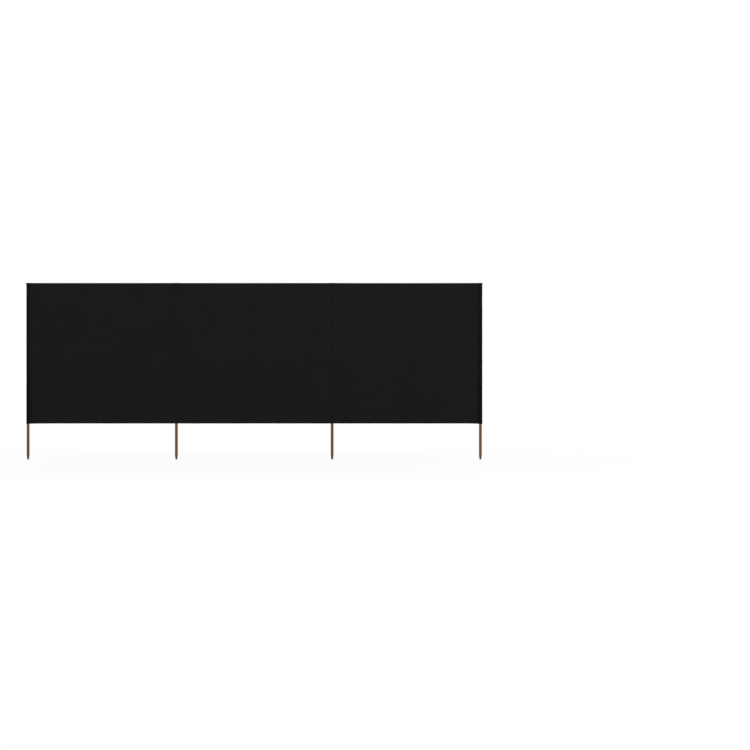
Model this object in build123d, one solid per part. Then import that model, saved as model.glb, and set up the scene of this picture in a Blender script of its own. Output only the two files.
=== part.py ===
import os
from math import acos, atan2, cos, sin

from build123d import *

os.makedirs("parts", exist_ok=True)

# A three-bay beach windbreak: one long cloth on four wooden poles, set up straight.
# The origin is the blunt tip of the left inner pole. +X runs along the cloth to the right,
# +Y points to its back and +Z is up. Sizes are in millimetres.

# Layout
end_bay = 1302.5
middle_bay = 1368.0
cloth_height = 1230.0
foot_length = 319.0

# Poles
pole_radius = 12.5
tip_radius = 7.5
taper_length = 35.0
pole_top_chamfer = 2.0

# Cloth
cloth = 0.7
hem_layers = 3
top_hem_height = 12.0
bottom_hem_height = 25.0

# Sleeves: the cloth goes round the pole, and both sides meet at the seam
pole_clearance = 0.3
end_seam_reach = 27.0
inner_seam_reach = 20.0
stitched_width = 2.0
stitched_gap = 0.3
lap_width = 12.0
lap_root = 2.0
end_sleeve_drop = 3.0

# Closed top of a sleeve, where the folded layers stand over the pole's end
cap_bulk = 1.3
cap_flare_height = 3.0
ear_shift = 2.7
ear_round = 3.0
cap_roof_height = 5.5
pole_to_roof = 1.0

# Clearance where an end bay's cloth turns round an inner sleeve
turning_clearance = 0.3

# Worked out from the sizes above
cloth_top = foot_length + cloth_height
pole_bore = pole_radius + pole_clearance
sleeve_radius = pole_bore + cloth
sleeve_hem_radius = sleeve_radius + cloth
cap_radius = sleeve_radius + cap_bulk
hem_thickness = hem_layers * cloth
panel_bottom = foot_length + bottom_hem_height
panel_top = cloth_top - top_hem_height
cap_flare_top = panel_top + cap_flare_height
cap_eaves = cloth_top - cap_roof_height
pole_top = cap_eaves - pole_to_roof

left_end_x = -end_bay
left_inner_x = 0.0
right_inner_x = middle_bay
right_end_x = middle_bay + end_bay


def teardrop(nose_x, nose_radius, tail_x, tail_half):
    # Round nose and two straight sides that meet a short flat tail at tail_x.
    reach = tail_x - nose_x
    distance = (reach**2 + tail_half**2) ** 0.5
    angle = atan2(tail_half, reach) + acos(nose_radius / distance)
    touch_x = nose_x + nose_radius * cos(angle)
    touch_y = nose_radius * sin(angle)
    tail = Line((tail_x, -tail_half), (tail_x, tail_half))
    back = Line((tail_x, tail_half), (touch_x, touch_y))
    nose = ThreePointArc((touch_x, touch_y), (nose_x - nose_radius, 0), (touch_x, -touch_y))
    front = Line((touch_x, -touch_y), (tail_x, -tail_half))
    return make_face(Wire([tail, back, nose, front]))


def at_height(face, height):
    return Pos(0, 0, height) * face


def make_pole():
    # A turned dowel, sharpened to a blunt tip, with its top edge broken.
    outline = Polyline(
        (0, 0),
        (tip_radius, 0),
        (pole_radius, taper_length),
        (pole_radius, pole_top - pole_top_chamfer),
        (pole_radius - pole_top_chamfer, pole_top),
        (0, pole_top),
        close=True,
    )
    profile = Plane.XZ * make_face(outline)
    return revolve(profile, Axis.Z, 360)


def make_tube(outer_radius, seam_reach, tail_half, bottom, top):
    # A stretch of sleeve: a tube round the pole that closes to the seam on the +X side.
    outer = teardrop(0, outer_radius, seam_reach, tail_half)
    inner = teardrop(0, pole_bore, seam_reach - stitched_width, stitched_gap)
    return extrude(at_height(outer - inner, bottom), top - bottom)


def make_lap(seam_reach):
    # The turned-in edge of the sleeve, sewn down flat on the back of the panel.
    lap = Box(
        lap_root + lap_width,
        cloth,
        panel_top - panel_bottom,
        align=(Align.MIN, Align.MIN, Align.MIN),
    )
    return Pos(seam_reach - lap_root, cloth / 2, panel_bottom) * lap


def make_sleeve(seam_reach):
    tube = make_tube(sleeve_radius, seam_reach, cloth, panel_bottom, panel_top)
    return tube + make_lap(seam_reach)


def make_sleeve_hem(seam_reach, drop):
    bottom = foot_length - drop
    return make_tube(sleeve_hem_radius, seam_reach, hem_thickness / 2, bottom, panel_bottom)


def make_cap(seam_reach, shift):
    # The sleeve's sewn top. Its folded layers stand out past the tube, its roof draws
    # them together over the pole's end, and the shift pushes the fold further out at
    # each end of the cloth, where it stands past the tube as an ear.
    nose_x = -shift - cap_radius
    tail_half = hem_thickness / 2
    layers = extrude(
        at_height(teardrop(-shift, cap_radius, seam_reach, tail_half), panel_top),
        top_hem_height,
    )
    front_outline = Wire(
        [
            *Polyline(
                (nose_x + ear_round, cloth_top),
                (seam_reach, cloth_top),
                (seam_reach, panel_top),
                (-sleeve_radius, panel_top),
                (nose_x, cap_flare_top),
                (nose_x, cloth_top - ear_round),
            ).edges(),
            RadiusArc((nose_x, cloth_top - ear_round), (nose_x + ear_round, cloth_top), ear_round),
        ]
    )
    side_outline = Polyline(
        (-cap_radius, panel_top),
        (-cap_radius, cap_eaves),
        (-tail_half, cloth_top),
        (tail_half, cloth_top),
        (cap_radius, cap_eaves),
        (cap_radius, panel_top),
        close=True,
    )
    from_front = extrude(Plane.XZ * make_face(front_outline), cap_radius, both=True)
    from_side = extrude(Plane.YZ * make_face(side_outline), seam_reach - nose_x, both=True)
    cavity_height = pole_top + pole_clearance - panel_top
    cavity = Cylinder(pole_bore, cavity_height, align=(Align.CENTER, Align.CENTER, Align.MIN))
    return (layers & from_front & from_side) - Pos(0, 0, panel_top) * cavity


def make_panel(start_x, end_x):
    panel = Box(
        end_x - start_x,
        cloth,
        panel_top - panel_bottom,
        align=(Align.MIN, Align.CENTER, Align.MIN),
    )
    return Pos(start_x, 0, panel_bottom) * panel


def make_hem(start_x, end_x, fold_z, sewn_z):
    # A hem turned to the back: flat against the panel's edge, round at the fold.
    fold_radius = hem_thickness / 2
    inward = 1 if sewn_z > fold_z else -1
    front_y = -cloth / 2
    middle_y = front_y + fold_radius
    back_y = front_y + hem_thickness
    round_z = fold_z + inward * fold_radius
    fold = ThreePointArc((front_y, round_z), (middle_y, fold_z), (back_y, round_z))
    rest = Polyline((back_y, round_z), (back_y, sewn_z), (front_y, sewn_z), (front_y, round_z))
    profile = make_face(Wire([fold, *rest.edges()]))
    section = Plane(origin=(start_x, 0, 0), x_dir=(0, 1, 0), z_dir=(1, 0, 0)) * profile
    return extrude(section, end_x - start_x, dir=(1, 0, 0))


def place(shape, pole_x, towards):
    # Sleeves are made with their seam on the +X side: towards is 1 or -1.
    facing = shape if towards > 0 else mirror(shape, Plane.YZ)
    return Pos(pole_x, 0, 0) * facing


poles = {
    "left_end": (left_end_x, 1, end_seam_reach, ear_shift, end_sleeve_drop),
    "left_inner": (left_inner_x, 1, inner_seam_reach, 0, 0),
    "right_inner": (right_inner_x, -1, inner_seam_reach, 0, 0),
    "right_end": (right_end_x, -1, end_seam_reach, ear_shift, end_sleeve_drop),
}

parts = {}
for name, (pole_x, towards, seam_reach, shift, drop) in poles.items():
    parts[f"{name}_pole"] = Pos(pole_x, 0, 0) * make_pole()
    parts[f"{name}_sleeve"] = place(make_sleeve(seam_reach), pole_x, towards)
    parts[f"{name}_sleeve_hem"] = place(make_sleeve_hem(seam_reach, drop), pole_x, towards)
    parts[f"{name}_sleeve_cap"] = place(make_cap(seam_reach, shift), pole_x, towards)

# Where each bay's cloth starts and stops at the top hem, the panel and the bottom hem:
# at the seam of its own sleeves, or just clear of the inner sleeve that it turns round.
turning = {
    "top_hem": cap_radius + turning_clearance,
    "panel": sleeve_radius + turning_clearance,
    "bottom_hem": sleeve_hem_radius + turning_clearance,
}
for piece, reach in turning.items():
    spans = {
        "left": (left_end_x + end_seam_reach, left_inner_x - reach),
        "middle": (left_inner_x + inner_seam_reach, right_inner_x - inner_seam_reach),
        "right": (right_inner_x + reach, right_end_x - end_seam_reach),
    }
    for bay, (start_x, end_x) in spans.items():
        if piece == "top_hem":
            parts[f"{bay}_top_hem"] = make_hem(start_x, end_x, cloth_top, panel_top)
        elif piece == "bottom_hem":
            parts[f"{bay}_bottom_hem"] = make_hem(start_x, end_x, foot_length, panel_bottom)
        else:
            parts[f"{bay}_panel"] = make_panel(start_x, end_x)

# The inner sleeves' other sewn edges, which turn with the end bays
parts["left_pocket_seam"] = place(make_lap(inner_seam_reach), left_inner_x, -1)
parts["right_pocket_seam"] = place(make_lap(inner_seam_reach), right_inner_x, 1)

for name, shape in parts.items():
    export_step(shape, f"parts/{name}.step")
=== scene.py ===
import math

import bmesh
import bpy
from mathutils import Matrix, Vector, noise


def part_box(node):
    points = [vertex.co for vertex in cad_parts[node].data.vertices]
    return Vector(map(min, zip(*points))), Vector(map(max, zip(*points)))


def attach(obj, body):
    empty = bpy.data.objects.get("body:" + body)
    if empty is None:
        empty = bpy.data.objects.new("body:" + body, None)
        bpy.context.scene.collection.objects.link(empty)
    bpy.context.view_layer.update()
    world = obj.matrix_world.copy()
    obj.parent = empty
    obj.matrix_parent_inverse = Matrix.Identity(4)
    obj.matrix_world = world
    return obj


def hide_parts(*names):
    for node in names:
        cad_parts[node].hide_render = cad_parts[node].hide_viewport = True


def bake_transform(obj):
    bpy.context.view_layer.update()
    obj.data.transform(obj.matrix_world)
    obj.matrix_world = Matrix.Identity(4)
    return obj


# A three-bay beach windbreak: one long black cloth in sleeves on four wooden poles.
# Lengths are in metres. The front of the cloth looks along -Y.

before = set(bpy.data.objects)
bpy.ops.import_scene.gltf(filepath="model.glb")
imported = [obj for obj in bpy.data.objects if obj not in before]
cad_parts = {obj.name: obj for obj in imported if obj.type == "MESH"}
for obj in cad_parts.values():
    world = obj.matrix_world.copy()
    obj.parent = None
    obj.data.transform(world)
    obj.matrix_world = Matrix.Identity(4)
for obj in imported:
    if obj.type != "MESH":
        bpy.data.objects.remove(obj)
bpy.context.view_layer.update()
mm = 0.001
print("frame loaded")


# Where the frame has the poles, the seams and the edges of the cloth

def middleX(node):
    low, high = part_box(node)
    return (low.x + high.x) / 2


poleX = {
    pole: middleX(f"{pole}_pole")
    for pole in ("left_end", "left_inner", "right_inner", "right_end")
}
poleLow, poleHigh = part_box("left_inner_pole")
poleRadius = (poleHigh.x - poleLow.x) / 2
poleHeight = poleHigh.z
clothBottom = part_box("middle_bottom_hem")[0].z
panelBottom, panelTop = (corner.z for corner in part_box("middle_panel"))
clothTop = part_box("middle_top_hem")[1].z
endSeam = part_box("left_panel")[0].x - poleX["left_end"]
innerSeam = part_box("middle_panel")[0].x - poleX["left_inner"]
taper = 35 * mm  # the sharpened part of a foot

# One cloth, and how finely its pieces are divided
cloth = {
    "thickness": 0.35 * mm,
    "layer": 0.42 * mm,  # from one layer to the next where they are sewn together
    "yarn": 0.55 * mm,
    "columns": 200,
    "rows": 130,
    "lap": 12 * mm,  # the turned-in edge that is sewn down on the back
    "poleRoom": 0.65 * mm,  # from the pole to the middle of the cloth round it
}

bays = {
    "left": {"from": poleX["left_end"] + endSeam, "to": poleX["left_inner"] - innerSeam,
             "belly": 3.2 * mm, "topSag": 0.2 * mm},
    "middle": {"from": poleX["left_inner"] + innerSeam, "to": poleX["right_inner"] - innerSeam,
               "belly": -2.4 * mm, "topSag": 0.5 * mm},
    "right": {"from": poleX["right_inner"] + innerSeam, "to": poleX["right_end"] - endSeam,
              "belly": 2.8 * mm, "topSag": 0.8 * mm},
}

# Seams point from each pole towards the bay whose cloth makes the sleeve
sleeves = {
    "left_end": {"towards": 1, "seam": endSeam, "end": True, "loose": 1.9 * mm},
    # an inner sleeve's last two numbers are painted shade over its band and over its pole
    "left_inner": {"towards": 1, "seam": innerSeam, "end": False, "loose": 0,
                   "bandShade": 0.11, "poleShade": 0.21},
    "right_inner": {"towards": -1, "seam": innerSeam, "end": False, "loose": 0,
                    "bandShade": 0.07, "poleShade": 0.17},
    "right_end": {"towards": -1, "seam": endSeam, "end": True, "loose": 3.6 * mm},
}

rideOn = {
    "left": "left_bay", "middle": "middle_bay", "right": "right_bay",
    "left_end": "left_bay", "right_end": "right_bay",
    "left_inner": "middle_bay", "right_inner": "middle_bay",
}
bendsBetween = {
    "left_inner": ("left_bay", "middle_bay"),
    "right_inner": ("middle_bay", "right_bay"),
}


# Materials

class Signal:  # one output of a node: sums in Python add the Math nodes
    def __init__(self, tree, socket=None):
        self.tree = tree
        self.socket = socket

    def node(self, kind, settings=None, values=None, output=0):
        made = self.tree.nodes.new(kind)
        for name, value in (settings or {}).items():
            setattr(made, name, value)
        for name, value in (values or {}).items():
            if isinstance(value, Signal):
                self.tree.links.new(value.socket, made.inputs[name])
            else:
                made.inputs[name].default_value = value
        if made.outputs:
            return Signal(self.tree, made.outputs[output])

    def sum(self, operation, *terms):
        return self.node("ShaderNodeMath", {"operation": operation}, dict(enumerate(terms)))

    def __add__(self, other):
        return self.sum("ADD", self, other)

    def __radd__(self, other):
        return self.sum("ADD", other, self)

    def __sub__(self, other):
        return self.sum("SUBTRACT", self, other)

    def __rsub__(self, other):
        return self.sum("SUBTRACT", other, self)

    def __mul__(self, other):
        return self.sum("MULTIPLY", self, other)

    def __rmul__(self, other):
        return self.sum("MULTIPLY", other, self)

    def __pow__(self, other):
        return self.sum("POWER", self, other)

    def __gt__(self, other):
        return self.sum("GREATER_THAN", self, other)

    def sine(self):
        return self.sum("SINE", self)

    def size(self):
        return self.sum("ABSOLUTE", self)

    def limited(self):
        return self.node("ShaderNodeClamp", values={"Value": self})

    def colour(self, low, high):
        # the colour sockets share their names with others, so they go by number
        return self.node("ShaderNodeMix", {"data_type": "RGBA"}, {0: self, 6: low, 7: high}, 2)

    def part(self, axis):
        return self.node("ShaderNodeSeparateXYZ", values={"Vector": self}, output=axis)

    def length(self):
        return self.node("ShaderNodeVectorMath", {"operation": "LENGTH"}, {0: self}, "Value")

    def scaled(self, scale, location=(0, 0, 0)):
        values = {"Vector": self, "Scale": scale, "Location": location}
        return self.node("ShaderNodeMapping", values=values)

    def noise(self, scale, detail, **more):
        values = {"Vector": self, "Scale": scale, "Detail": detail, **more}
        return self.node("ShaderNodeTexNoise", values=values)


def newMaterial(name):
    material = bpy.data.materials.new(name)
    material.use_nodes = True
    material.node_tree.nodes.clear()
    return material, Signal(material.node_tree)


def surface(start, shader):
    start.node("ShaderNodeOutputMaterial", values={"Surface": shader})


def objectPlace(start):
    return start.node("ShaderNodeTexCoord", output="Object")


def rgb(red, green, blue):
    return (red, green, blue, 1.0)


def addUp(base, weights, signals):
    for name, weight in weights.items():
        base = base + signals[name] * weight
    return base


def finishSurface(start, finish, colour, height, signals, **more):
    bump = start.node("ShaderNodeBump", values={
        "Height": height, "Distance": finish["bumpHeight"], "Strength": finish["bump"],
    })
    surface(start, start.node("ShaderNodeBsdfPrincipled", values={
        "Base Color": colour,
        "Roughness": addUp(finish["roughness"], finish["rougher"], signals),
        "Normal": bump,
        "Specular IOR Level": finish["specular"],
        **more,
    }))


clothFinish = {
    "lightest": rgb(0.01315, 0.0109, 0.01315),  # the cloth's tone where its painted shade is 0
    "darkest": rgb(0.0030, 0.0025, 0.0030),  # and where it is 1, painted shade over the end poles
    "worn": rgb(0.0150, 0.0128, 0.0150),
    "specular": 0.006,
    "sheen": {"Sheen Weight": 0.03, "Sheen Roughness": 0.5},
    "bumpHeight": 0.09 * mm,
    "bump": 0.8,
    "bumpSlubs": 0.6,
    "yarnCurve": 0.35,
    "weaveMean": 0.51,
    "gapShade": 0.45,  # painted shade between the yarns, and painted highlight on top of them
    "crownHighlight": 1.55,
    "slubs": (14, 900),  # noise for each metre, along a yarn and across it
    "clouds": 2.6,
    "blotches": 16,
    "scuffs": 210,
    "scuffedAbove": 0.35,
    "scuffing": 1.6,
    # how much each signal changes the tone: clouds and blotches are random tone and partly painted
    # sheen mottling
    "tone": {"clouds": 0.15, "blotches": 0.13, "slubs": 0.3, "weave": 0.9},
    "roughness": 0.66,
    "rougher": {"clouds": 0.16, "blotches": 0.12, "rubbed": 0.1},
}


def makeClothMaterial():
    material, start = newMaterial("blackCloth")
    flat = start.node("ShaderNodeUVMap", {"uv_map": "flat"})
    place = objectPlace(start)
    paintedShadeFactor = start.node("ShaderNodeAttribute", {"attribute_name": "paintedShade"}, output="Fac")
    wear = start.node("ShaderNodeAttribute", {"attribute_name": "wear"}, output="Fac")

    turn = math.pi / cloth["yarn"]
    warp = (flat.part("X") * turn).sine()
    weft = (flat.part("Y") * turn).sine()
    warpOnTop = warp * weft > 0
    warpCrown = warp.size() * weft.size() ** clothFinish["yarnCurve"]
    weftCrown = weft.size() * warp.size() ** clothFinish["yarnCurve"]
    weave = warpCrown * warpOnTop + weftCrown * (1 - warpOnTop)

    along, across = clothFinish["slubs"]
    slubs = flat.scaled((across, along, 1)).noise(1, 2) - 1
    slubs = slubs + flat.scaled((along, across, 1)).noise(1, 2)
    scuffs = place.noise(clothFinish["scuffs"], 4) - clothFinish["scuffedAbove"]
    rubbed = (wear * scuffs * clothFinish["scuffing"]).limited()
    signals = {
        "weave": weave - clothFinish["weaveMean"],
        "slubs": slubs,
        "clouds": place.noise(clothFinish["clouds"], 3) - 0.5,
        "blotches": place.noise(clothFinish["blotches"], 3) - 0.5,
        "rubbed": rubbed,
    }

    # painted shade: darker over the poles and the laps, where the light from behind is stopped, and
    # lighter beside the inner seams
    base = paintedShadeFactor.limited().colour(clothFinish["lightest"], clothFinish["darkest"])
    worn = rubbed.colour(base, clothFinish["worn"])
    # painted shade between the yarns and painted highlight on their crowns, as the weave turns the tone
    # down and up
    dark = start.node("ShaderNodeHueSaturation", values={"Value": clothFinish["gapShade"], "Color": worn})
    light = start.node("ShaderNodeHueSaturation", values={"Value": clothFinish["crownHighlight"], "Color": worn})
    colour = addUp(0.5, clothFinish["tone"], signals).limited().colour(dark, light)
    height = weave + slubs * clothFinish["bumpSlubs"]
    finishSurface(start, clothFinish, colour, height, signals, **clothFinish["sheen"])
    return material


threadFinish = {
    "dark": rgb(0.015, 0.013, 0.015),
    "light": rgb(0.036, 0.033, 0.036),
    "twist": 900,  # turns of the ply for each metre
    "bumpHeight": 0.05 * mm,
    "bump": 0.6,
    "speckle": 600,
    "tone": {"twist": 0.6, "speckle": 0.4},
    "roughness": 0.45,
    "rougher": {"speckle": 0.15},
    "specular": 0.12,
}


def makeThreadMaterial():
    material, start = newMaterial("blackThread")
    place = objectPlace(start)
    turn = threadFinish["twist"] * math.tau
    twist = 0.5 + 0.5 * ((place.part("X") + place.part("Z")) * turn).sine()
    signals = {"twist": twist, "speckle": place.noise(threadFinish["speckle"], 2)}
    # painted highlight on the ply's ridges and painted shade in its grooves, over a speckle
    tone = addUp(0, threadFinish["tone"], signals)
    colour = tone.colour(threadFinish["dark"], threadFinish["light"])
    finishSurface(start, threadFinish, colour, twist, signals)
    return material


woodFinish = {
    "stain": rgb(0.185, 0.076, 0.034),
    "darkStain": rgb(0.082, 0.032, 0.015),
    "bare": rgb(0.135, 0.085, 0.060),
    "greyTip": rgb(0.085, 0.058, 0.046),
    # darker and greyer over the last few millimetres of the tip
    "darkTipEnd": rgb(0.060, 0.050, 0.046),
    "heart": (-0.055, -0.043, 0),  # the tree's middle stands beside the dowels
    "heartScale": (1, 1, 0.01),
    "ring": 3.4 * mm,
    "ringSway": 11 * mm,
    "ringCurve": 3.5,
    "wander": 6,
    "streak": (160, 130, 3.2),  # noise for each metre, twice across the grain and once along it
    "sway": (40, 40, 2.1),
    "fibre": (1500, 1500, 55),
    "pore": (900, 900, 14),
    "poreAbove": 0.62,
    "poreEdge": 9,
    "flatTone": 0.08,
    "tone": {"streak": 1.5, "ring": 0.55, "fibre": 0.7, "wander": 0.6, "pore": 0.5},
    "tipEdge": {"wander": 12 * mm, "fibre": 6 * mm},
    "tipSharpness": 260,
    "tipFibre": 1.4,
    "tipShare": 0.7,  # how much of the tip's colour hides the stain
    "darkTipEndHeight": 14 * mm,
    "darkTipEndEdge": {"streak": 10 * mm},
    "darkTipEndSharpness": 120,
    "darkTipEndShare": 0.75,
    "bumpHeight": 0.2 * mm,
    "bump": 0.7,
    "relief": {"ring": 0.25, "streak": 0.3, "fibre": 0.5, "pore": -0.6},
    "roughness": 0.56,
    "rougher": {"fibre": 0.12, "onTip": 0.2},
    "specular": 0.12,
}


def makeWoodMaterial():
    material, start = newMaterial("stainedWood")
    place = objectPlace(start)
    up = place.part("Z")
    streak = place.scaled(woodFinish["streak"]).noise(1, 4, Roughness=0.6, Distortion=0.5) - 0.5
    sway = place.scaled(woodFinish["sway"]).noise(1, 2) - 0.5
    fromHeart = place.scaled(woodFinish["heartScale"], woodFinish["heart"]).length()
    ringPhase = (fromHeart + sway * woodFinish["ringSway"]) * (math.tau / woodFinish["ring"])
    pore = place.scaled(woodFinish["pore"]).noise(1, 2) - woodFinish["poreAbove"]
    signals = {
        "streak": streak,
        "ring": (0.5 + 0.5 * ringPhase.sine()) ** woodFinish["ringCurve"],
        "fibre": place.scaled(woodFinish["fibre"]).noise(1, 3) - 0.5,
        "wander": place.noise(woodFinish["wander"], 2) - 0.5,
        "pore": (pore * woodFinish["poreEdge"]).limited(),
    }

    stained = addUp(woodFinish["flatTone"], woodFinish["tone"], signals).limited()
    stained = stained.colour(woodFinish["stain"], woodFinish["darkStain"])
    overEdge = addUp(taper, woodFinish["tipEdge"], signals) - up
    signals["onTip"] = (overEdge * woodFinish["tipSharpness"]).limited()
    # the tip goes darker and greyer towards its very end
    underDarkTipEnd = addUp(woodFinish["darkTipEndHeight"] - up, woodFinish["darkTipEndEdge"], signals)
    darkTipEnd = (underDarkTipEnd * woodFinish["darkTipEndSharpness"]).limited() * woodFinish["darkTipEndShare"]
    cut = (0.5 + signals["fibre"] * woodFinish["tipFibre"]).limited()
    tip = darkTipEnd.colour(cut.colour(woodFinish["bare"], woodFinish["greyTip"]), woodFinish["darkTipEnd"])
    colour = (signals["onTip"] * woodFinish["tipShare"]).colour(stained, tip)
    height = addUp(0.5, woodFinish["relief"], signals)
    finishSurface(start, woodFinish, colour, height, signals)
    return material


clothMaterial = makeClothMaterial()
threadMaterial = makeThreadMaterial()
woodMaterial = makeWoodMaterial()
print("materials made")


# How the taut cloth lies

drape = {
    "sideFade": 0.07,
    "edgeBelly": 0.3,  # what the belly and the rolls keep at the upper and lower edge
    "edgeRolls": 0.35,
    "rolls": 1.5 * mm,
    "rollSize": 0.30,
    "rollStretch": 1.7,
    "cornerFolds": 1.3 * mm,
    "lowerFolds": 0.7,
    "cornerReach": 0.30,
    "cornerClear": 0.06,
    "cornerRays": 11,
    "cornerDimples": 2.0 * mm,
    "dimpleSize": 0.040,
    "dimpleSquash": 1.2,
    "dimpleReach": 0.17,
    "hemRipple": 0.45 * mm,
    "hemRippleLength": 0.042,
    "hemRippleReach": 0.045,
    "seamPucker": 0.28 * mm,
    "seamPuckerLength": 0.036,
    "seamPuckerReach": 0.015,
    "edgeWave": 0.55 * mm,
    "topWave": 0.7,
    "waveFade": 0.1,
    "edgeFade": 0.2,
    "sleeveDrop": 3 * mm,  # how far the cloth hangs lower at its two ends
    "dropReach": 0.045,
    "hang": 2.8 * mm,  # how far the lower edge hangs everywhere
    "topStand": 2.0 * mm,
    "endRise": 0.5 * mm,  # how far the end poles push the top up
    "endRiseReach": 0.022,
    "innerRise": 0.9 * mm,
    "innerRiseReach": 0.035,
}


def ease(share):
    share = min(1.0, max(0.0, share))
    return share * share * (3 - 2 * share)


def mix(low, high, share):
    return low + (high - low) * share


def near(distance, width):
    # 1 on the spot, and next to nothing two widths from it
    return math.exp(-((distance / width) ** 2))


def grain(x, y, z):
    # smooth noise; the bare numbers where it is used only pick a stretch of it
    return noise.noise(Vector((x, y, z)))


def pucker(x, z):
    # small waves that the thread draws up along an upright seam
    turn = math.tau * z / drape["seamPuckerLength"] + 2.2 * grain(x * 3, 1.7, z * 9)
    return drape["seamPucker"] * math.sin(turn) * (0.6 + 0.8 * grain(x * 2, 5.1, z * 5))


def seamWave(x, z, distance, reach):
    return pucker(x, z) * math.exp(-distance / reach)


def heightShare(z):
    return (z - clothBottom) / (clothTop - clothBottom)


def acrossBay(bay, x):
    return (x - bays[bay]["from"]) / (bays[bay]["to"] - bays[bay]["from"])


def fromPoles(x, kind):
    # how far it is to the nearer one of the end poles or of the inner poles
    return min(abs(x - poleX[f"left_{kind}"]), abs(x - poleX[f"right_{kind}"]))


def cornerDepth(x, z, cornerX, cornerZ, number):
    # folds that run out from a corner of a bay, and dimples beside it
    reach = math.hypot(x - cornerX, z - cornerZ)
    angle = math.atan2(abs(z - cornerZ), abs(x - cornerX))
    ray = math.cos(angle * drape["cornerRays"] + 1.9 * number + 2.3 * cornerX + cornerZ)
    folds = drape["cornerFolds"] * near(reach, drape["cornerReach"]) * ray
    if cornerZ == clothBottom:
        folds *= drape["lowerFolds"]
    size = drape["dimpleSize"]
    dimples = grain(x / size, 8.8 + number, z / size * drape["dimpleSquash"])
    dimples *= drape["cornerDimples"] * near(reach, drape["dimpleReach"])
    return folds * ease(reach / drape["cornerClear"]) + dimples


def bayDepth(bay, x, z):
    # how far back the cloth of a bay lies
    left, right = bays[bay]["from"], bays[bay]["to"]
    middle = math.sin(math.pi * min(1.0, max(0.0, heightShare(z))))
    belly = bays[bay]["belly"] * math.sin(math.pi * acrossBay(bay, x))
    size = drape["rollSize"]
    rolls = drape["rolls"] * grain(x / size, 0.4, z / size / drape["rollStretch"])
    depth = belly * mix(drape["edgeBelly"], 1, middle) + rolls * mix(drape["edgeRolls"], 1, middle)
    for number, cornerX in enumerate((left, right)):
        for cornerZ in (clothBottom, clothTop):
            depth += cornerDepth(x, z, cornerX, cornerZ, number)
    for number, edgeZ in enumerate((panelBottom, panelTop)):
        turn = math.tau * x / drape["hemRippleLength"] + 3 * grain(x * 6, 2.2 + number, 0.3)
        strength = drape["hemRipple"] * (0.5 + grain(x * 4, 7.7 + number, 0.1))
        depth += strength * math.sin(turn) * math.exp(-abs(z - edgeZ) / drape["hemRippleReach"])
    depth *= ease(min(x - left, right - x) / drape["sideFade"])
    for seamX in (left, right):
        depth += seamWave(seamX, z, abs(x - seamX), drape["seamPuckerReach"])
    return depth


def lift(x, z):
    # how the cloth's lower and upper edges stand off a straight line
    fromEnd = fromPoles(x, "end")
    wave = drape["edgeWave"] * ease(fromEnd / drape["waveFade"])
    drop = drape["sleeveDrop"] * math.exp(-max(0.0, fromEnd - poleRadius) / drape["dropReach"])
    low = wave * grain(x * 8, 0.5, 0.2) - drop - drape["hang"]
    high = wave * drape["topWave"] * grain(x * 7, 3.5, 0.8) + drape["topStand"]
    high += drape["endRise"] * near(fromEnd, drape["endRiseReach"])
    high += drape["innerRise"] * near(fromPoles(x, "inner"), drape["innerRiseReach"])
    for bay in bays:
        if 0 < acrossBay(bay, x) < 1:
            high -= bays[bay]["topSag"] * math.sin(math.pi * acrossBay(bay, x))
    lowShare = ease(1 - (z - panelBottom) / drape["edgeFade"])
    highShare = ease(1 - (panelTop - z) / drape["edgeFade"])
    return low * lowShare + high * highShare


def bayPoint(bay, x, z, behind=0.0):
    # a point of a bay's cloth, or of a layer behind it
    return Vector((x, bayDepth(bay, x, z) + behind, z + lift(x, z)))


# Cloth as a flat grid that is laid along a profile

def run(start, end, steps):
    return [
        (start[0] + (end[0] - start[0]) * step / steps, start[1] + (end[1] - start[1]) * step / steps)
        for step in range(1, steps + 1)
    ]


def arc(centre, radius, fromAngle, toAngle, steps):
    angles = [fromAngle + (toAngle - fromAngle) * step / steps for step in range(1, steps + 1)]
    return [(centre[0] + radius * math.cos(a), centre[1] + radius * math.sin(a)) for a in angles]


def curve(start, startHandle, endHandle, end, steps):
    points = []
    for step in range(1, steps + 1):
        t = step / steps
        weights = ((1 - t) ** 3, 3 * t * (1 - t) ** 2, 3 * t * t * (1 - t), t**3)
        corners = (start, startHandle, endHandle, end)
        points.append(tuple(sum(w * c[k] for w, c in zip(weights, corners)) for k in (0, 1)))
    return points


def lengthsAlong(profile):
    lengths = [0.0]
    for before, after in zip(profile, profile[1:]):
        lengths.append(lengths[-1] + math.dist(before, after))
    return lengths


def outwardAlong(profile):
    # the direction out of the tube at each point, for a profile that runs from front to back
    directions = []
    for number in range(len(profile)):
        before = profile[max(0, number - 1)]
        after = profile[min(len(profile) - 1, number + 1)]
        along = Vector((after[0] - before[0], after[1] - before[1])).normalized()
        directions.append(Vector((-along.y, along.x)))
    return directions


def layCloth(bm, across, along, place, tone):
    # across and along are the flat cloth's measures at each column and row
    columns, rows = len(across) - 1, len(along) - 1
    flat = bm.loops.layers.uv.get("flat") or bm.loops.layers.uv.new("flat")
    paintedShadeLayer, wearLayer = (
        bm.verts.layers.float.get(name) or bm.verts.layers.float.new(name)
        for name in ("paintedShade", "wear")
    )
    made = bmesh.ops.create_grid(bm, x_segments=columns, y_segments=rows, size=0.5)
    spots = {}
    for vertex in made["verts"]:
        spots[vertex] = (round((vertex.co.x + 0.5) * columns), round((vertex.co.y + 0.5) * rows))
    for face in {face for vertex in made["verts"] for face in vertex.link_faces}:
        for corner in face.loops:
            column, row = spots[corner.vert]
            corner[flat].uv = (across[column], along[row])
    for vertex, (column, row) in spots.items():
        vertex.co = place(column, row)
        vertex[paintedShadeLayer], vertex[wearLayer] = tone(column, row)


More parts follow.
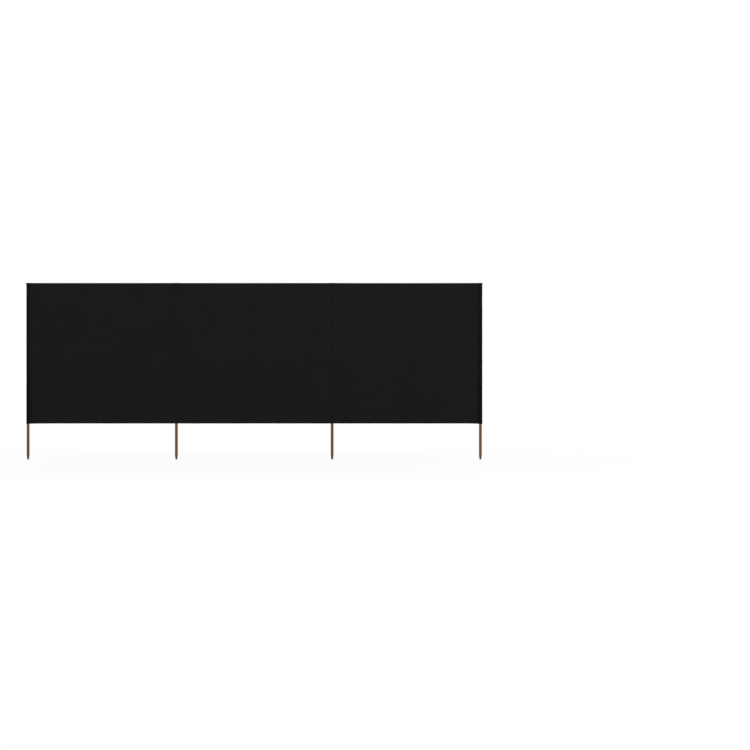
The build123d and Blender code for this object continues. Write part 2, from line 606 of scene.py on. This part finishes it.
def meshFrom(bm, name):
    mesh = bpy.data.meshes.new(name)
    bm.to_mesh(mesh)
    bm.free()
    return mesh


def addObject(name, data):
    made = bpy.data.objects.new(name, data)
    bpy.context.scene.collection.objects.link(made)
    return made


def finishPiece(name, bm, material):
    mesh = meshFrom(bm, name)
    mesh.polygons.foreach_set("use_smooth", [True] * len(mesh.polygons))
    mesh.materials.append(material)
    piece = addObject(name, mesh)
    return piece


def finishCloth(node, bm):
    piece = finishPiece(f"{node}_cloth", bm, clothMaterial)
    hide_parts(node)
    wall = piece.modifiers.new("cloth thickness", "SOLIDIFY")
    wall.thickness = cloth["thickness"]
    wall.offset = 0
    return piece


def fasten(piece, pole):
    # an inner sleeve's pieces have their place baked into the mesh and ride on no bay, and the others
    # ride on their own
    if pole in bendsBetween:
        start = (poleX[pole] - innerSeam, 0, 0)
        end = (poleX[pole] + innerSeam, 0, 0)
        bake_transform(piece)
    else:
        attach(piece, rideOn[pole])
    return piece


def spacedOut(start, end, count):
    return [start + (end - start) * step / count for step in range(count + 1)]


# Panels

paintedShade = {  # painted light and shade in the cloth's tone, from 0, the lightest, to 1, the darkest
    "panel": 0.17,
    "innerSeam": 0.0,
    "seamWidth": 10 * mm,
    "seamFade": 1.3,  # where the painted light beside an inner seam ends, in its widths
    "endLap": 0.27,
    "lapFade": 1.4,  # where the painted shade over a lap ends, in laps
    "endSeam": 0.30,
    "endNose": 1.0,
    "noseCurve": 0.8,
    "atFoot": 1.25,  # how strongly the painted shade on the end sleeves shows, at their foot and at their top
    "atTop": 0.75,
    "overSeam": 1 * mm,  # an inner sleeve's painted shade starts this far past its seam
    "poleShare": 0.95,
    "fade": 8 * mm,
}


def panelPaintedShade(x, z):
    # painted shade where the laps of the end sleeves stand behind the panel's side, and painted light
    # beside the inner seams
    fromEndSeam = fromPoles(x, "end") - endSeam
    fromInnerSeam = fromPoles(x, "inner") - innerSeam
    lowDown = min(1.0, 2 * max(0.0, 1 - heightShare(z)))
    onLap = ease(paintedShade["lapFade"] - fromEndSeam / cloth["lap"]) * lowDown
    besideSeam = ease(paintedShade["seamFade"] - fromInnerSeam / paintedShade["seamWidth"])
    tone = mix(paintedShade["panel"], paintedShade["endLap"], onLap)
    return tone + (paintedShade["innerSeam"] - paintedShade["panel"]) * besideSeam


def makePanel(bay):
    xs = spacedOut(bays[bay]["from"], bays[bay]["to"], cloth["columns"])
    zs = spacedOut(panelBottom, panelTop, cloth["rows"])
    bm = bmesh.new()
    layCloth(
        bm, xs, zs,
        lambda column, row: bayPoint(bay, xs[column], zs[row]),
        lambda column, row: (panelPaintedShade(xs[column], zs[row]), 0.0),
    )
    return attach(finishCloth(f"{bay}_panel", bm), rideOn[bay])


panels = {bay: makePanel(bay) for bay in bays}
print("panels made")


# Hems: the cloth is turned to the back, with its raw edge folded in

hem = {
    "rowInset": 2 * mm,  # the stitches, from the panel's edge
    "turnIn": 8 * mm,
    "plump": 0.55,
    "dip": 0.45,
    "dipWidth": 1.3 * mm,
    "endFade": 20 * mm,
    "wear": 0.7,
    "wearWidth": 1.2 * mm,
    "faceStep": 3.4 * mm,
    "sewnSteps": 4,
    "foldSteps": 6,
}


def hemProfile(foldZ, sewnZ, turnIn):
    # depth and height along the hem, from the panel's edge round the fold to the raw edge
    inward = 1 if sewnZ > foldZ else -1
    layer = cloth["layer"]
    roundZ = foldZ + inward * (layer + cloth["thickness"] / 2)
    drawnZ = sewnZ - inward * 2 * hem["rowInset"]  # as far as the stitches draw the layers together
    tuckZ = sewnZ - inward * layer
    steps = max(3, round(abs(drawnZ - foldZ) / hem["faceStep"]))
    sewnSteps = hem["sewnSteps"]
    profile = [(0.0, sewnZ)]
    profile += run((0.0, sewnZ), (0.0, drawnZ), sewnSteps) + run((0.0, drawnZ), (0.0, roundZ), steps)
    profile += arc((layer, roundZ), layer, math.pi, math.pi + inward * math.pi, hem["foldSteps"])
    profile += run((2 * layer, roundZ), (2 * layer, drawnZ), steps)
    profile += run((2 * layer, drawnZ), (2 * layer, tuckZ), sewnSteps)
    profile += arc((1.5 * layer, tuckZ), layer / 2, 0, inward * math.pi, sewnSteps)
    profile += run((layer, tuckZ), (layer, tuckZ - inward * turnIn), 2)
    return profile


def hemSpread(bay, x, z, foldZ, sewnZ):
    # the layers stand apart between the fold and the stitches, which draw them together
    share = min(1, max(0, (z - foldZ) / (sewnZ - foldZ)))
    stitchZ = sewnZ + math.copysign(hem["rowInset"], foldZ - sewnZ)
    dip = hem["dip"] * near(z - stitchZ, hem["dipWidth"])
    fromSeam = min(x - bays[bay]["from"], bays[bay]["to"] - x)
    return 1 + (hem["plump"] * math.sin(math.pi * share) - dip) * ease(fromSeam / hem["endFade"])


def hemWear(z, foldZ):
    return hem["wear"] * near(z - foldZ, hem["wearWidth"])


def makeHem(bay, edge):
    foldZ, sewnZ = (clothBottom, panelBottom) if edge == "bottom" else (clothTop, panelTop)
    profile = hemProfile(foldZ, sewnZ, hem["turnIn"])
    xs = spacedOut(bays[bay]["from"], bays[bay]["to"], cloth["columns"])
    middle = cloth["layer"]

    def spot(column, row):
        x = xs[column]
        depth, z = profile[row]
        return bayPoint(bay, x, z, middle + (depth - middle) * hemSpread(bay, x, z, foldZ, sewnZ))

    def tone(column, row):
        z = profile[row][1]
        return (panelPaintedShade(xs[column], z), hemWear(z, foldZ))

    bm = bmesh.new()
    layCloth(bm, xs, lengthsAlong(profile), spot, tone)
    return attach(finishCloth(f"{bay}_{edge}_hem", bm), rideOn[bay])


hems = {(bay, edge): makeHem(bay, edge) for bay in bays for edge in ("top", "bottom")}
print("hems made")


# Sleeves: the section runs from the seam round the front of the pole to the back

section = {
    "webSteps": 8,
    "arcStep": 15,  # degrees
    "innerFiner": 1.5,
    "seamEase": 2 * mm,
    "arcEase": 3 * mm,
    "wrinkle": 0.22 * mm,
    "webWrinkle": 0.5 * mm,
    "webFrom": 0.5,  # of the pole's radius
    "webFade": 8 * mm,
    "webSeamFade": 6 * mm,
    "capBulge": 0.5 * mm,  # how full the sleeve is just under its cap
    "bulgeBelow": 5 * mm,
    "bulgeHeight": 5 * mm,
    "seamFade": 9 * mm,
    "puckerReach": 5 * mm,
    "lapClear": 2 * mm,  # from the seam to the edge that is turned under
}
sleeveRadius = poleRadius + cloth["poleRoom"]


def webTouch(seam):
    return math.acos(sleeveRadius / seam)


def web(seam, side, seamY, outwards):
    # the stretch between the seam and the tube; side is -1 on the front and 1 on the back
    touch = webTouch(seam)
    onTube = (sleeveRadius * math.cos(touch), side * sleeveRadius * math.sin(touch))
    lean = (math.sin(touch), -side * math.cos(touch))
    nearTube = (onTube[0] + lean[0] * section["arcEase"], onTube[1] + lean[1] * section["arcEase"])
    nearSeam = (seam - section["seamEase"], seamY)
    if outwards:
        return curve(onTube, nearTube, nearSeam, (seam, seamY), section["webSteps"])
    return curve((seam, seamY), nearSeam, nearTube, onTube, section["webSteps"])


def lapProfile(seam):
    # the turned-in edge: out from the seam on the back, and back under itself
    layer = cloth["layer"]
    lapEnd = seam + cloth["lap"]
    points = run((seam, 2 * layer), (lapEnd - layer / 2, 2 * layer), 3)
    points += arc((lapEnd - layer / 2, 1.5 * layer), layer / 2, math.pi / 2, -math.pi / 2, 4)
    points += run((lapEnd - layer / 2, layer), (seam + section["lapClear"], layer), 2)
    return points


def flipped(profile):
    return [(-x, y) for x, y in profile]


def endStrips(withLap):
    # one strip, from the seam on the front round the pole to the seam on the back
    touch = webTouch(endSeam)
    turn = math.tau - 2 * touch
    steps = round(math.degrees(turn) / section["arcStep"])
    strip = [(endSeam, 0.0)] + web(endSeam, -1, 0.0, False)
    strip += arc((0, 0), sleeveRadius, -touch, -touch - turn, steps)
    strip += web(endSeam, 1, 2 * cloth["layer"], True)
    return [strip + (lapProfile(endSeam) if withLap else [])]


def innerStrips(withLap):
    # a front strip and a back strip, sewn together on both sides of the pole
    touch = webTouch(innerSeam)
    turn = math.pi - 2 * touch
    steps = max(4, round(math.degrees(turn) / section["arcStep"] * section["innerFiner"]))
    backY = 2 * cloth["layer"]
    front = [(innerSeam, 0.0)] + web(innerSeam, -1, 0.0, False)
    front += arc((0, 0), sleeveRadius, -touch, touch - math.pi, steps)
    front += flipped(web(innerSeam, -1, 0.0, False))[-2::-1] + [(-innerSeam, 0.0)]
    back = [(-innerSeam, backY)] + flipped(web(innerSeam, 1, backY, True)[-2::-1])
    back += [(-sleeveRadius * math.cos(touch), sleeveRadius * math.sin(touch))]
    back += arc((0, 0), sleeveRadius, math.pi - touch, touch, steps)
    back += web(innerSeam, 1, backY, True)
    return [front, back + (lapProfile(innerSeam) if withLap else [])]


def stripsOf(pole, withLap):
    return endStrips(withLap) if sleeves[pole]["end"] else innerStrips(withLap)


def awayFromSeam(pole, x, reach):
    # 0 at a seam of the section, 1 from reach inside it; x is counted from the pole
    inside = sleeves[pole]["seam"] - (x if sleeves[pole]["end"] else abs(x))
    return ease(inside / reach)


# painted shade over a sleeve, darkest over the pole, which stops the light from behind
def paintedShadeAt(pole, x, z):
    if sleeves[pole]["end"]:
        toSeam = min(1.0, max(0.0, (x + poleRadius) / (endSeam + poleRadius)))
        tone = mix(paintedShade["endNose"], paintedShade["endSeam"], toSeam ** paintedShade["noseCurve"])
        return mix(paintedShade["panel"], tone, mix(paintedShade["atFoot"], paintedShade["atTop"], heightShare(z)))
    overBand = ease((innerSeam + paintedShade["overSeam"] - abs(x)) / paintedShade["fade"])
    overPole = ease((poleRadius * paintedShade["poleShare"] - abs(x)) / paintedShade["fade"])
    tone = paintedShade["innerSeam"] + sleeves[pole]["bandShade"] * overBand
    return tone + sleeves[pole]["poleShade"] * overPole


def wrinkleAt(pole, x, y, z):
    # the sleeve is a little slack round the pole, more beside it, and full under its cap
    if abs(x) >= sleeves[pole]["seam"]:
        return 0.0
    beside = ease((abs(x) - poleRadius * section["webFrom"]) / section["webFade"])
    beside *= awayFromSeam(pole, x, section["webSeamFade"])
    underCap = section["capBulge"] * near(panelTop - z - section["bulgeBelow"], section["bulgeHeight"])
    place = poleX[pole] * 3
    folds = grain(place + x * 45, y * 45, z * 22) + 0.4 * grain(place + x * 20, y * 90, z * 75)
    swell = 0.7 + 0.6 * grain(place + x * 70, y * 70, 4.4)
    return mix(section["wrinkle"], section["webWrinkle"], beside) * folds + underCap * swell


def sleevePoint(pole, point, outward, out, z):
    # a point of the sleeve, out from its section, in the frame
    seam, towards = sleeves[pole]["seam"], sleeves[pole]["towards"]
    x, y = point
    x -= sleeves[pole]["loose"] * ease(-x / sleeveRadius)
    move = out * awayFromSeam(pole, x, section["seamFade"])
    worldX = poleX[pole] + towards * (x + outward.x * move)
    wave = 0.0
    if x >= 0 or not sleeves[pole]["end"]:
        seamX = poleX[pole] + towards * math.copysign(seam, x)
        wave = seamWave(seamX, z, abs(abs(x) - seam), section["puckerReach"])
    return Vector((worldX, y + outward.y * move + wave, z + lift(worldX, z)))


def wrinkledPoint(pole, point, outward, z):
    return sleevePoint(pole, point, outward, wrinkleAt(pole, *point, z), z)


def makeSleeve(pole):
    zs = spacedOut(panelBottom, panelTop, cloth["rows"])
    bm = bmesh.new()
    width = 0.0
    for strip in stripsOf(pole, True):
        outwards = outwardAlong(strip)
        lengths = lengthsAlong(strip)
        width += lengths[-1]
        layCloth(
            bm, lengths, zs,
            lambda column, row: wrinkledPoint(pole, strip[column], outwards[column], zs[row]),
            lambda column, row: (paintedShadeAt(pole, strip[column][0], zs[row]), 0.0),
        )
    return fasten(finishCloth(f"{pole}_sleeve", bm), pole), width


sleevePieces = {pole: makeSleeve(pole) for pole in sleeves}
print("sleeves made")


sleeveHem = {
    "turnIn": 1 * mm,
    "standOver": 3 * mm,
}


def hemStand(z):
    # a sleeve's hem is turned up inside it, and stands a layer further out
    return cloth["layer"] * ease((panelBottom - z) / sleeveHem["standOver"])


def layRound(pole, path, pointAt, wearAt):
    # cloth round a pole: path says how far out it stands and how high, row by row
    bm = bmesh.new()
    for strip in stripsOf(pole, False):
        outwards = outwardAlong(strip)
        layCloth(
            bm, lengthsAlong(strip), lengthsAlong(path),
            lambda column, row: pointAt(pole, strip[column], outwards[column], *path[row]),
            lambda column, row: (paintedShadeAt(pole, strip[column][0], path[row][1]), wearAt(path[row][1])),
        )
    return bm


def makeSleeveHem(pole):
    path = []
    for depth, z in hemProfile(clothBottom, panelBottom, sleeveHem["turnIn"]):
        if depth > cloth["layer"] * 1.01 and z > clothBottom + hem["turnIn"]:
            break  # the rest of it is hidden in the sleeve
        path.append((hemStand(z) - depth, z))
    bm = layRound(pole, path, sleevePoint, lambda z: hemWear(z, clothBottom))
    return fasten(finishCloth(f"{pole}_sleeve_hem", bm), pole)


sleeveHems = {pole: makeSleeveHem(pole) for pole in sleeves}
print("sleeve hems made")


# Caps: the sleeve's top is folded over the pole's end and sewn shut

cap = {
    "bulk": 1.3 * mm,
    "lip": 0.6 * mm,
    # the tucked lower edge: how far out, in bulks, and how high above the panel, in lips
    "tuck": ((0.25, 2.2), (0.35, 1), (0.6, 0.3), (0.85, 0.35), (1, 1.2), (1, 3.4), (1, 6.4)),
    "wallBelowEaves": 2 * mm,
    "eavesBelowTop": 5.5 * mm,
    "ear": 1.9 * mm,
    "earRound": 3 * mm,
    "flare": 3 * mm,
    "topHalf": 0.8 * mm,
    "softness": 2.0 * mm,
    "gather": 0.38 * mm,
    "gatherWidth": 5.2 * mm,
    "gatherOver": 3 * mm,
    "roofRows": 10,
    "rollRows": 5,
    "mergeBelowTop": 0.02 * mm,  # the front and the back meet here
    "mergeWithin": 0.05 * mm,
    "topWear": 0.8,
    "topWearWidth": 1.2 * mm,
    "eavesWear": 0.5,
    "eavesWearWidth": 1.4 * mm,
}
roofFrom = clothTop - cap["eavesBelowTop"]
rollFrom = clothTop - cap["topHalf"]


def capPath():
    # how far out the cloth stands and how high, from the tucked edge up to the sewn top
    bulk = cap["bulk"]
    path = [(out * bulk, panelTop + up * cap["lip"]) for out, up in cap["tuck"]]
    path += [(bulk, z) for z in spacedOut(roofFrom - cap["wallBelowEaves"], rollFrom, cap["roofRows"])]
    for step in range(1, cap["rollRows"] + 1):
        path.append((bulk, rollFrom + cap["topHalf"] * math.sin(math.pi / 2 * step / cap["rollRows"])))
    return path


def roofHalf(z):
    # half the cap's thickness at this height, which the roof allows
    if z <= rollFrom:
        share = max(0.0, (z - roofFrom) / (rollFrom - roofFrom))
        return mix(sleeveRadius + cap["bulk"], cap["topHalf"], share)
    rest = min(1.0, (z - rollFrom) / cap["topHalf"])
    return cap["topHalf"] * math.sqrt(max(0.0, 1 - rest * rest))


def softMin(a, b, softness):
    overlap = max(0.0, softness - abs(a - b)) / softness
    return min(a, b) - overlap * overlap * softness / 4


def earReach(z):
    # how far the fold stands past the sleeve at the end of the cloth
    rise = ease((z - panelTop) / cap["flare"])
    rest = max(0.0, (z - clothTop + cap["earRound"]) / cap["earRound"])
    return cap["ear"] * rise - cap["earRound"] * (1 - math.sqrt(max(0.0, 1 - min(1.0, rest) ** 2)))


def gatherAt(pole, x, depth):
    # the folds in which the roof is gathered, not the same on the front and the back
    wander = 1.5 * grain(poleX[pole] * 5, x * 90, math.copysign(2, depth))
    return cap["gather"] * math.sin(math.tau * x / cap["gatherWidth"] + wander)


def capPoint(pole, point, outward, out, z):
    # a point of the cap: its roof draws the sleeve's front and back together
    spot = sleevePoint(pole, point, outward, out, z)
    towards = sleeves[pole]["towards"]
    x = towards * (spot.x - poleX[pole])
    if z > roofFrom - cap["softness"]:
        middleY = cloth["layer"]
        depth = spot.y - middleY
        half = roofHalf(z)
        kept = softMin(abs(depth), half, min(cap["softness"], half + 0.01 * mm))
        drawn = min(1.0, (abs(depth) - kept) / cap["gatherOver"]) * min(1.0, half / cap["gatherOver"])
        kept = max(0.0, kept + gatherAt(pole, x, spot.y) * drawn)
        spot.y = middleY + math.copysign(kept, depth)
    if sleeves[pole]["end"] and x < 0:
        x *= 1 + earReach(z) / (sleeveRadius + cap["bulk"])
    spot.x = poleX[pole] + towards * x
    return spot


def capWear(z):
    wear = cap["topWear"] * near(z - clothTop, cap["topWearWidth"])
    return wear + cap["eavesWear"] * near(z - roofFrom, cap["eavesWearWidth"])


def makeCap(pole):
    bm = layRound(pole, capPath(), capPoint, capWear)
    top = [vertex for vertex in bm.verts if vertex.co.z > clothTop - cap["mergeBelowTop"]]
    bmesh.ops.remove_doubles(bm, verts=top, dist=cap["mergeWithin"])
    return fasten(finishCloth(f"{pole}_sleeve_cap", bm), pole)


caps = {pole: makeCap(pole) for pole in sleeves}
print("caps made")


def makePocketSeam(side):
    # the inner sleeve's other sewn edge, which lies on the end bay's back
    pole = f"{side}_inner"
    towards = -sleeves[pole]["towards"]
    profile = [(innerSeam, 2 * cloth["layer"])] + lapProfile(innerSeam)
    zs = spacedOut(panelBottom, panelTop, cloth["rows"])

    def spot(column, row):
        out, behind = profile[column]
        return bayPoint(side, poleX[pole] + towards * out, zs[row], behind)

    bm = bmesh.new()
    layCloth(bm, lengthsAlong(profile), zs, spot, lambda column, row: (paintedShade["panel"], 0.0))
    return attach(finishCloth(f"{side}_pocket_seam", bm), rideOn[side])


pocketSeams = {side: makePocketSeam(side) for side in ("left", "right")}
print("pocket seams made")


# Poles: turned dowels with a sharpened foot

dowel = {
    "sides": 48,
    "tipRadius": 7.5 * mm,
    "tipRound": 1.2 * mm,
    "tipTurn": -0.25,  # the rounding ends where it meets the slope
    "shoulderInset": 0.2 * mm,
    "shoulderBelow": 1.5 * mm,
    "shoulderAbove": 1.0 * mm,
    "topChamfer": 2 * mm,
    "toolMark": 0.16 * mm,
    "toolPitch": 1.1 * mm,
    "toolTurns": 3,
    "wander": 0.05 * mm,
}
hiddenFrom = clothBottom + 20 * mm  # the pole is plain from here up, inside the sleeve


def poleProfile():
    # radius and height, from the tip up
    tipRound, chamfer = dowel["tipRound"], dowel["topChamfer"]
    flatRadius = dowel["tipRadius"] - tipRound
    points = [(0.0, 0.0), (flatRadius, 0.0)]
    points += arc((flatRadius, tipRound), tipRound, -math.pi / 2, dowel["tipTurn"], 3)
    for end, steps in (
        ((poleRadius - dowel["shoulderInset"], taper - dowel["shoulderBelow"]), 22),
        ((poleRadius, taper + dowel["shoulderAbove"]), 3),
        ((poleRadius, hiddenFrom), 48),
        ((poleRadius, poleHeight - chamfer), 20),
        ((poleRadius - chamfer, poleHeight), 2),
    ):
        points += run(points[-1], end, steps)
    return points + [(0.0, poleHeight)]


def wornAway(name, angle, height):
    around = grain(math.cos(angle), math.sin(angle) + 9 * poleX[name], height * 30)
    worn = dowel["wander"] * (1 + around)
    if height < taper:
        spiral = math.sin(height / dowel["toolPitch"] + angle * dowel["toolTurns"])
        rough = abs(grain(angle, height * 200, poleX[name]))
        worn += dowel["toolMark"] * (0.6 + 0.4 * spiral + 0.8 * rough)
    return worn


def makePole(name):
    centre = Vector((poleX[name], 0, 0))
    bm = bmesh.new()
    line = [bm.verts.new(centre + Vector((radius, 0, z))) for radius, z in poleProfile()]
    edges = [bm.edges.new(pair) for pair in zip(line, line[1:])]
    bmesh.ops.spin(
        bm, geom=line + edges, cent=centre, axis=(0, 0, 1), angle=math.tau,
        steps=dowel["sides"], use_merge=True,
    )
    bmesh.ops.remove_doubles(bm, verts=bm.verts[:], dist=0.001 * mm)
    bmesh.ops.recalc_face_normals(bm, faces=bm.faces[:])
    for vertex in bm.verts:
        arm = vertex.co - centre
        height = arm.z
        arm.z = 0
        if arm.length > 0.1 * mm and height <= hiddenFrom:
            vertex.co -= arm.normalized() * wornAway(name, math.atan2(arm.y, arm.x), height)
    piece = finishPiece(f"{name}_pole_dowel", bm, woodMaterial)
    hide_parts(f"{name}_pole")
    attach(piece, rideOn[name])


for name in poleX:
    makePole(name)
print("poles made")


# Stitches: short bars of thread, front and back

stitch = {
    "pitch": 4.2 * mm,
    "length": 3.3 * mm,
    "width": 0.5 * mm,
    "height": 0.34 * mm,
    "seamInset": 1.2 * mm,  # a bay's upright rows: from its seam, and from the edge of the lap
    "lapInset": 1.6 * mm,
    "capInset": 1.6 * mm,
    "ahead": 0.5 * mm,  # how far on and how far up the cloth is felt for its direction
    "above": 0.3 * mm,
    "foldTurn": 0.6,  # the cap's row stops where it turns this far round the fold
}


def makeStitchMesh():
    bm = bmesh.new()
    bmesh.ops.create_icosphere(bm, subdivisions=1, radius=0.5)
    bmesh.ops.scale(bm, vec=(stitch["length"], stitch["width"], stitch["height"]), verts=bm.verts[:])
    return meshFrom(bm, "one stitch")


oneStitch = makeStitchMesh()


def putStitch(bm, here, forward, out):
    turn = Matrix((forward, out.cross(forward), out)).transposed().to_4x4()
    copy = oneStitch.copy()
    copy.transform(Matrix.Translation(here) @ turn)
    bm.from_mesh(copy)
    bpy.data.meshes.remove(copy)


def sew(bm, length, side, follow):
    # follow gives the cloth's point at a distance along the row; side is -1 on the front
    outward = Vector((0, side, 0))
    count = max(2, round(length / stitch["pitch"]))
    for number in range(count):
        middle = (number + 0.5) * length / count
        here = follow(middle)
        forward = (follow(middle + stitch["ahead"]) - here).normalized()
        putStitch(bm, here, forward, (outward - forward * outward.dot(forward)).normalized())


def sewBay(bay):
    left, right = bays[bay]["from"], bays[bay]["to"]
    layer, skin = cloth["layer"], cloth["thickness"] / 2
    bm = bmesh.new()

    def onHem(along, side, foldZ, sewnZ):
        z = sewnZ + math.copysign(hem["rowInset"], foldZ - sewnZ)
        stand = layer * hemSpread(bay, left + along, z, foldZ, sewnZ) + skin
        return bayPoint(bay, left + along, z, layer + side * stand)

    for foldZ, sewnZ in ((clothTop, panelTop), (clothBottom, panelBottom)):
        for side in (-1, 1):
            sew(bm, right - left, side, lambda along: onHem(along, side, foldZ, sewnZ))
    for seamX, inwards in ((left, 1), (right, -1)):
        for inset in (stitch["seamInset"], cloth["lap"] - stitch["lapInset"]):
            x = seamX + inwards * inset
            for side, behind in ((-1, -skin), (1, 2 * layer + skin)):
                sew(
                    bm, panelTop - panelBottom, side,
                    lambda along: bayPoint(bay, x, panelBottom + along, behind),
                )
    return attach(finishPiece(f"{bay}_bay_stitching", bm, threadMaterial), rideOn[bay])


def sewRing(bm, ring, above, towards, overFold):
    # ring is where the row runs round a sleeve, and above is the cloth just over it
    lengths = lengthsAlong(ring)
    count = max(2, round(lengths[-1] / stitch["pitch"]))
    for number in range(count):
        middle = (number + 0.5) * lengths[-1] / count
        index = next(k for k in range(1, len(lengths)) if lengths[k] >= middle)
        share = (middle - lengths[index - 1]) / (lengths[index] - lengths[index - 1])
        here = ring[index - 1].lerp(ring[index], share)
        up = above[index - 1].lerp(above[index], share) - here
        forward = (ring[index] - ring[index - 1]).normalized()
        if not overFold and abs(forward.y) > stitch["foldTurn"] * abs(forward.x):
            continue
        out = towards * up.cross(forward).normalized()
        putStitch(bm, here + out * cloth["thickness"] / 2, forward, out)


def sewSleeve(pole):
    # a row round the hem at the bottom, and one through the cap's roof at the top
    hemZ = panelBottom - hem["rowInset"]
    rows = (
        (sleevePoint, hemStand(hemZ), hemZ, True),
        (capPoint, cap["bulk"], clothTop - stitch["capInset"], False),
    )
    bm = bmesh.new()
    for strip in stripsOf(pole, False):
        pairs = list(zip(strip, outwardAlong(strip)))
        for pointAt, out, rowZ, overFold in rows:
            ring = [pointAt(pole, *pair, out, rowZ) for pair in pairs]
            above = [pointAt(pole, *pair, out, rowZ + stitch["above"]) for pair in pairs]
            sewRing(bm, ring, above, sleeves[pole]["towards"], overFold)
    return fasten(finishPiece(f"{pole}_sleeve_stitching", bm, threadMaterial), pole)


bayStitches = {bay: sewBay(bay) for bay in bays}
sleeveStitches = {pole: sewSleeve(pole) for pole in sleeves}
print("stitches made")


# The width of each bay's cloth, worked out and not kept

for bay, place in bays.items():
    place["to"] - place["from"]


# Camera, light and floor

view = {
    "metresAcross": 6.588,  # what the picture's width shows where the windbreak stands
    "x": 1.7446,
    "z": 0.7426,
    "lens": 85,
    "sensor": 36,
    "farthest": 500,
}


def makeCamera():
    data = bpy.data.cameras.new("camera")
    data.lens = view["lens"]
    data.sensor_width = view["sensor"]
    data.clip_end = view["farthest"]
    camera = addObject("camera", data)
    distance = view["metresAcross"] * view["lens"] / view["sensor"]
    camera.location = (view["x"], -distance, view["z"])
    camera.rotation_euler = (math.radians(90), 0, 0)
    bpy.context.scene.camera = camera


studio = {
    "worldLight": 0.62,
    "floorColour": rgb(0.9, 0.9, 0.9),
    "floorShade": 0.10,  # how much of the real floor, with its shadow, the camera sees
    "floorMiddle": 0.4,  # of the camera's x
    "floorNear": 1.6,
    "floorFar": 4.2,
    "floorSize": 400,
}

lamps = {
    "key": {"at": (4.6, -6.5, 4.8), "aim": (0.7, 0, 1.0), "size": (5, 4), "watts": 210},
    "fill": {"at": (-3.6, -7.0, 2.4), "aim": (0.6, 0, 0.8), "size": (4, 3), "watts": 95},
    "back": {"at": (0.2, 6.5, 4.2), "aim": (0.7, 0, 0.9), "size": (6, 4), "watts": 230},
}


def makeLamp(name, lamp):
    data = bpy.data.lights.new(name, "AREA")
    data.shape = "RECTANGLE"
    data.size, data.size_y = lamp["size"]
    data.energy = lamp["watts"]
    light = addObject(name, data)
    light.location = lamp["at"]
    aim = Vector(lamp["aim"]) - Vector(lamp["at"])
    light.rotation_euler = aim.to_track_quat("-Z", "Y").to_euler()


white = rgb(1, 1, 1)


def seenDirectly(start):
    # 1 for the camera and for what gloss shows, 0 for the light on the object
    camera, glossy, through = (
        start.node("ShaderNodeLightPath", output=f"Is {kind} Ray")
        for kind in ("Camera", "Glossy", "Transmission")
    )
    return (camera + glossy + through).limited()


def glow(start, kind, strength):
    return start.node(kind, values={"Color": white, "Strength": strength})


def makeWorld():
    world = bpy.data.worlds.new("studio")
    world.use_nodes = True
    world.node_tree.nodes.clear()
    bpy.context.scene.world = world
    start = Signal(world.node_tree)
    lighting = glow(start, "ShaderNodeBackground", studio["worldLight"])
    backdrop = glow(start, "ShaderNodeBackground", 1.0)
    mixed = start.node("ShaderNodeMixShader", values={0: seenDirectly(start), 1: lighting, 2: backdrop})
    start.node("ShaderNodeOutputWorld", values={"Surface": mixed})


def makeFloor():
    material, start = newMaterial("paleFloor")
    nearest, farthest = studio["floorNear"], studio["floorFar"]
    centre = (-view["x"] * studio["floorMiddle"], 0, 0)
    away = objectPlace(start).scaled((1, 1, 1), centre).length()
    beside = 1 - ((away - nearest) * (1 / (farthest - nearest))).limited()
    real = start.node("ShaderNodeBsdfDiffuse", values={"Color": studio["floorColour"]})
    share = seenDirectly(start) * (1 - beside * studio["floorShade"])
    shown = glow(start, "ShaderNodeEmission", 1.0)
    surface(start, start.node("ShaderNodeMixShader", values={0: share, 1: real, 2: shown}))
    bm = bmesh.new()
    bmesh.ops.create_grid(bm, x_segments=1, y_segments=1, size=studio["floorSize"] / 2)
    mesh = meshFrom(bm, "floor")
    mesh.materials.append(material)
    addObject("floor", mesh)


makeCamera()
for name, lamp in lamps.items():
    makeLamp(name, lamp)
makeWorld()
makeFloor()
bpy.context.scene.view_settings.view_transform = "Standard"
print("studio made")
